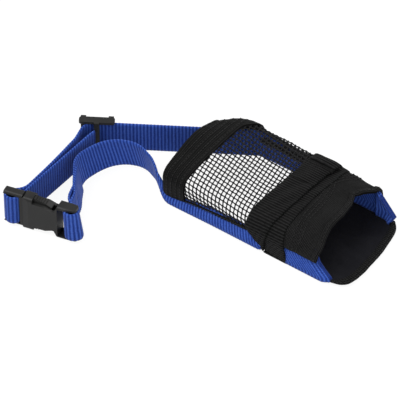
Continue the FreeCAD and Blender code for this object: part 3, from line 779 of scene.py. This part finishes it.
# The near strap's cross-section as (y, z), under the window, free, under the band and by the nose
NEAR_CURL = [(-26.8, 1.3), (-30.4, 0.9), (-33.4, 0.9), (-34.8, 2.6), (-34.1, 6.0), (-32.7, 9.0), (-31.8, 12.2)]
NEAR_UPRIGHT = [(-31.6, 2), (-31.6, 22)]
NEAR_TUCKED = [(-31.9, 1.9), (-31.6, 9), (-30.8, 14), (-28.8, 18), (-26.4, 20.2)]
NEAR_FLARED = [(-34.2, 0.9), (-33.6, 4.4), (-32.0, 9.0), (-30.4, 13.4), (-27.4, 18.2)]
# Station where a side strap ends in front, at shares of its height
NEAR_END = [(0, 119.4), (0.1, 120.6), (0.45, 110.0), (1, 102.5)]
FAR_END = [(0, 118.8), (0.12, 120.2), (0.36, 122.6), (1, 111.9)]


def end_station(profile, w):
    return float(np.interp(w, [at for at, x in profile], [x for at, x in profile]))


def end_turn(x, front):
    """How far the last few millimetres of a strap turn in, rounding its end."""
    return 2.2 * smooth_step(x, front - 6.5, front) ** 2


def near_side_rows(back, grow, count, k=15):
    """The near strap along the wall: its foot curls under beside the window and flares before the nose."""
    curl = resample(catmull(NEAR_CURL, 60), k)
    upright = resample(np.array(NEAR_UPRIGHT, float), k)
    tucked = resample(catmull(NEAR_TUCKED, 60), k)
    flared = resample(catmull(NEAR_FLARED, 60), k)
    rows = np.zeros((count, k, 3))
    for i, u in enumerate(np.linspace(0, 1, count)):
        for j in range(k):
            front = end_station(NEAR_END, j / (k - 1)) + grow
            x = front + (back - front) * u
            curled = smooth_step(x, -10, 5) * (1 - smooth_step(x, 70, 77))
            nose = smooth_step(x, 84, 91)
            hidden = smooth_step(x, 70, 77) * (1 - nose)
            yz = (upright[j] * (1 - curled - nose - hidden) + curl[j] * curled + flared[j] * nose
                  + tucked[j] * hidden)
            low = 1 - 0.32 * smooth_step(x, -8, 3) * (1 - smooth_step(x, 5, 42))
            rows[i, j] = (x, yz[0] + end_turn(x, front), yz[1] * low)
    return rows


def far_side_rows(back, grow, count, k=15):
    """The far strap along the inner face of its wall, with a slanted front end."""
    rows = np.zeros((count, k, 3))
    for i, u in enumerate(np.linspace(0, 1, count)):
        for j, w in enumerate(np.linspace(0, 1, k)):
            front = end_station(FAR_END, w) + grow
            x = front + (back - front) * u
            height = WEBBING_WIDTH - 1.5 * smooth_step(x, 34, 50)
            rows[i, j] = (x, SIDE_STRAP_Y - end_turn(x, front), WEBBING_Z + height * w)
    return rows


def standing_rows(path, k=15, lean=None):
    """Rows of a strap standing on edge along a plan path, its top moved by a plan shift."""
    rows = np.zeros((len(path), k, 3))
    for j, w in enumerate(np.linspace(0, 1, k)):
        rows[:, j, :2] = path if lean is None else path + lean * w
        rows[:, j, 2] = WEBBING_Z + WEBBING_WIDTH * w
    return rows


# Plan routes: the near neck strap's arch, the two loops as distances along the strap's way and
# to its left from the buckle's bar, and how far the arch's top edge leans at lengths along it
NEAR_ARCH = [(0, -31.6), (-2.4, -30.9), (-7.1, -28), (-12.2, -24.2), (-16.8, -22.1), (-22.4, -20), (-28.2, -19.9),
             (-34, -22), (-38.7, -25.6), (-42.3, -30.5), (-44.8, -36.9), (-46.3, -44.7), (-46.5, -49.3),
             (-45.7, -53.2), (-44.3, -56.5), (-40.6, -61.9), (-35.8, -69.2), (-30.6, -77)]
NEAR_LOOP = [(8.6, 0.8), (5.4, 0.5), (3.6, 1.0), (1.6, 3.2), (-0.8, 4.5), (-3.2, 3.6), (-4.6, 1.0), (-4.5, -2.0),
             (-3.0, -4.6), (0.0, -5.4), (2.6, -4.2), (4.8, -2.2), (7.6, -1.1), (12.4, -0.7)]
FAR_LOOP = [(11.4, -2.9), (7.8, -2.4), (4.8, -0.6), (2.6, 1.9), (0.0, 3.8), (-2.4, 3.2), (-4.0, 1.0),
            (-4.3, -1.6), (-3.3, -4.0), (-1.0, -5.3), (1.8, -5.4), (5.4, -5.0), (9.2, -4.7)]
ARCH_LEAN = [(0, (0, -0.6)), (5, (-1.6, -2.8)), (14, (-2.3, -2.8)), (36, (-3.2, -3.4)), (60, (-3.4, -2.6)),
             (80, (-3.6, -1.2)), (94, (-2.6, -0.8)), (104, (-0.8, 0)), (112, (-0.8, 0)), (126, (-0.8, 0)),
             (134, (-2.6, -0.8)), (146, (-3.6, -1.2))]


def arch_lean(path):
    """Plan shift of the strap's top edge at each point of its path."""
    s = lengths_along(path)
    stops = [stop for stop, shift in ARCH_LEAN]
    return np.stack([np.interp(s, stops, [shift[axis] for stop, shift in ARCH_LEAN]) for axis in (0, 1)], 1)


def loop_path(bar, toward, shape):
    """Plan path once round a buckle bar, from distances along the strap's way and to its left."""
    along = np.array(toward, float) / np.linalg.norm(toward)
    across = np.array([-along[1], along[0]])
    return np.array([np.array(bar) + along * a + across * c for a, c in shape])


def near_strap():
    """The near strap in one piece, from its front end to the loop on the buckle's female half."""
    side = near_side_rows(0.0, 0.0, 300)
    loop = loop_path(FEMALE_BAR, (-24.8, 33.3), NEAR_LOOP)
    tail = np.array([(-32.5, -71.5), (-37.4, -64.4), (-41.2, -58.6)])
    path = catmull(np.vstack([NEAR_ARCH, loop, tail]), 560)
    neck = standing_rows(path, lean=arch_lean(path))
    for j in range(neck.shape[1]):
        neck[:30, j] += (side[-1, j] - neck[0, j]) * (np.linspace(1, 0, 30) ** 1.6)[:, None]
    piece("near_strap", ribbed_strap(np.vstack([side[:-1], neck])), BLUE, "muzzle", "blue_webbing",
          "near_side_strap", "near_neck_strap", "near_strap_loop")


def far_strap():
    """The far strap to the adjuster, and from there a piece that runs round the male half's bar and back."""
    side = far_side_rows(FAR_WALL_LEAVES[0], 0.0, 230)
    route = [FAR_WALL_LEAVES, FAR_BEND, GLIDE_POINT, (-60.8, -41.0), (-58.6, -60.0)]
    run = resample(rounded(route, 9.0), 460)
    split = int(np.searchsorted(lengths_along(run), 118.0))
    upper = np.vstack([side[:-1], standing_rows(run[:split + 1])])
    piece("far_strap", ribbed_strap(upper), BLUE, "muzzle", "blue_webbing", "far_side_strap")
    loop = loop_path(MALE_BAR, (1.5, 30.9), FAR_LOOP)
    middle = np.array([(-57.7, -70), (-57.0, -80)])
    tail = np.array([(-55.2, -80), (-55.5, -66), (-56.0, -44), (-56.2, -33), (-55.9, -28.9)])
    path = catmull(np.vstack([run[split:-1:12], middle, loop, tail]), 440)
    obj = make_object("far_strap_run", ribbed_strap(standing_rows(path)), BLUE)
    metres((-57.5, -52.0, 12.0))
    metres((-58.5, -88.0, 12.0))
    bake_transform(obj)
    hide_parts("far_neck_strap", "far_strap_tail", "far_strap_loop")


def strap_folds():
    """Ends of the side straps turned back inside them."""
    near = near_side_rows(FOLD_START, -0.2, 40)
    near[:, :, 1] += FOLD_INSET
    far = far_side_rows(FOLD_START, -0.2, 40)
    far[:, :, 1] -= FOLD_INSET
    for rows, node in ((near, "near_strap_fold"), (far, "far_strap_fold")):
        piece(node + "_layer", ribbed_strap(rows), BLUE, "muzzle", "blue_webbing", node)


# Chin panel

CHIN_HALF_WIDTH = 32.4
CHIN_HEM_START = 0.915
CHIN_EDGE = [(119.5, -CHIN_HALF_WIDTH), (126.5, -30.4), (130.0, -26), (131.2, -17), (130.6, -3),
             (129.4, 8), (127.4, 18), (124.8, 27), (120.5, CHIN_HALF_WIDTH)]


def chin_rows(start, n):
    """Rows of the chin cloth from a share of its length to its bowed front edge."""
    edge = catmull(CHIN_EDGE, 90)
    rows = np.zeros((len(edge), n, 3))
    for i, (x, y) in enumerate(edge):
        v = i / (len(edge) - 1)
        base_y = -CHIN_HALF_WIDTH + 2 * CHIN_HALF_WIDTH * v
        for j, u in enumerate(np.linspace(start, 1, n)):
            px = WAIST + BAND_UNDER + (x - WAIST - BAND_UNDER) * u
            py = base_y + (y - base_y) * u ** 2
            middle = math.sin(math.pi * v) ** 0.5
            waves = pucker(px, py, 1.1, 0.06) + pucker(px, py, 0.4, 0.2)
            rows[i, j] = (px, py, 1.5 + middle * (0.4 + waves))
    return rows


def chin_panel():
    rows = chin_rows(0.0, 60)
    cloth = piece("chin_panel_cloth", slab(rows, 0.8), CHIN, "muzzle", "chin_cloth", "chin_panel")
    hem = chin_rows(CHIN_HEM_START, 10)
    hem[..., 2] += 0.25
    tape = piece("chin_hem_tape", slab(hem, 1.4), TAPE, "muzzle", "binding_tape", "chin_panel_binding")
    parts = []
    for inset in (5, 8):
        line = hem[2:-2, inset] + np.array([0.0, 0.0, 0.75])
        parts += stitch_row(line, lambda point: np.array([0.0, 0.0, 1.0]), 2.4, 1.7, 0.2)
    piece("chin_stitches", join(parts), THREAD, "muzzle", "binding_tape")


# Floor, light and camera

FLOOR_SIZE = 6.0
FLOOR_LEVEL = -0.0004
FLOOR_GLOW = 0.86
AMBIENT = 0.48


def floor():
    """White floor that glows to the camera, so that it joins the background and keeps a soft shadow."""
    mesh = bpy.data.meshes.new("floor")
    corners = [(-1, -1), (1, -1), (1, 1), (-1, 1)]
    mesh.from_pydata([(FLOOR_SIZE * x, FLOOR_SIZE * y, FLOOR_LEVEL) for x, y in corners], [], [(0, 1, 2, 3)])
    obj = bpy.data.objects.new("floor", mesh)
    bpy.context.scene.collection.objects.link(obj)
    material, nodes, links, shader = new_material("floor_white")
    shader.inputs["Base Color"].default_value = (0.86, 0.86, 0.86, 1)
    shader.inputs["Roughness"].default_value = 0.8
    glow = nodes.new("ShaderNodeEmission")
    glow.inputs["Strength"].default_value = 1.06
    mix = nodes.new("ShaderNodeMixShader")
    path = nodes.new("ShaderNodeLightPath")
    seen = math_node(nodes, links, "MAXIMUM", path.outputs["Is Camera Ray"], path.outputs["Is Glossy Ray"])
    seen = math_node(nodes, links, "MAXIMUM", seen, path.outputs["Is Transmission Ray"])
    share = math_node(nodes, links, "MULTIPLY", seen, FLOOR_GLOW)
    links.new(share, mix.inputs[0])
    links.new(shader.outputs[0], mix.inputs[1])
    links.new(glow.outputs[0], mix.inputs[2])
    links.new(mix.outputs[0], nodes["Material Output"].inputs["Surface"])
    mesh.materials.append(material)


def area_light(name, place, size, power):
    """Round soft light that faces the muzzle."""
    data = bpy.data.lights.new(name, "AREA")
    data.shape = "DISK"
    data.size = size
    data.energy = power
    obj = bpy.data.objects.new(name, data)
    obj.location = place
    obj.rotation_euler = (-Vector(place)).to_track_quat("-Z", "Y").to_euler()
    bpy.context.scene.collection.objects.link(obj)


def lights():
    world = bpy.data.worlds.new("studio")
    world.use_nodes = True
    nodes, links = world.node_tree.nodes, world.node_tree.links
    background = nodes["Background"]
    path = nodes.new("ShaderNodeLightPath")
    seen = math_node(nodes, links, "MAXIMUM", path.outputs["Is Camera Ray"],
                     path.outputs["Is Transmission Ray"])
    strength = math_node(nodes, links, "MULTIPLY_ADD", seen, 1.0 - AMBIENT, AMBIENT)
    links.new(strength, background.inputs["Strength"])
    background.inputs["Color"].default_value = (1, 1, 1, 1)
    bpy.context.scene.world = world
    area_light("key", (-0.5, -0.5, 1.1), 0.9, 11.0)
    area_light("fill", (0.9, -0.5, 0.8), 1.0, 6.0)
    area_light("back", (0.1, 1.1, 0.8), 0.9, 6.0)


CAMERA_AZIMUTH = 37.5
CAMERA_ELEVATION = 42.0
CAMERA_DISTANCE = 2.0
VIEW_WIDTH = 0.236
CAMERA_TARGET = (18.0, -22.0, 2.0)


def camera():
    data = bpy.data.cameras.new("camera")
    data.sensor_width = 36.0
    data.lens = data.sensor_width * CAMERA_DISTANCE / VIEW_WIDTH
    data.clip_end = 20.0
    obj = bpy.data.objects.new("camera", data)
    a, e = math.radians(CAMERA_AZIMUTH), math.radians(CAMERA_ELEVATION)
    back = Vector((math.sin(a) * math.cos(e), -math.cos(a) * math.cos(e), math.sin(e)))
    obj.location = Vector(metres(CAMERA_TARGET)) + back * CAMERA_DISTANCE
    obj.rotation_euler = (-back).to_track_quat("-Z", "Y").to_euler()
    bpy.context.scene.collection.objects.link(obj)
    bpy.context.scene.camera = obj


def dress_cad():
    """Materials for the CAD nodes that still show."""
    plain = {"black_acetal": PLASTIC, "band_webbing": BAND, "hook_and_loop": HOOK}
    slots = {row["node"]: row["material_slot"] for row in frame["record"]["subparts"]}
    for name, obj in frame["nodes"].items():
        material = plain.get(slots[name])
        if material and not obj.hide_render:
            obj.data.materials.clear()
            obj.data.materials.append(material)


camera()
floor()
lights()
rear_binding()
binding_stitches()
window_net()
panel_hems()
hem_stitches()
far_facing()
front_panel()
front_hem()
front_stitches()
nose_band_base()
nose_band_overlap()
nose_band_tab()
patches()
near_strap()
far_strap()
strap_folds()
chin_panel()
dress_cad()

bpy.context.scene.view_settings.view_transform = "Standard"
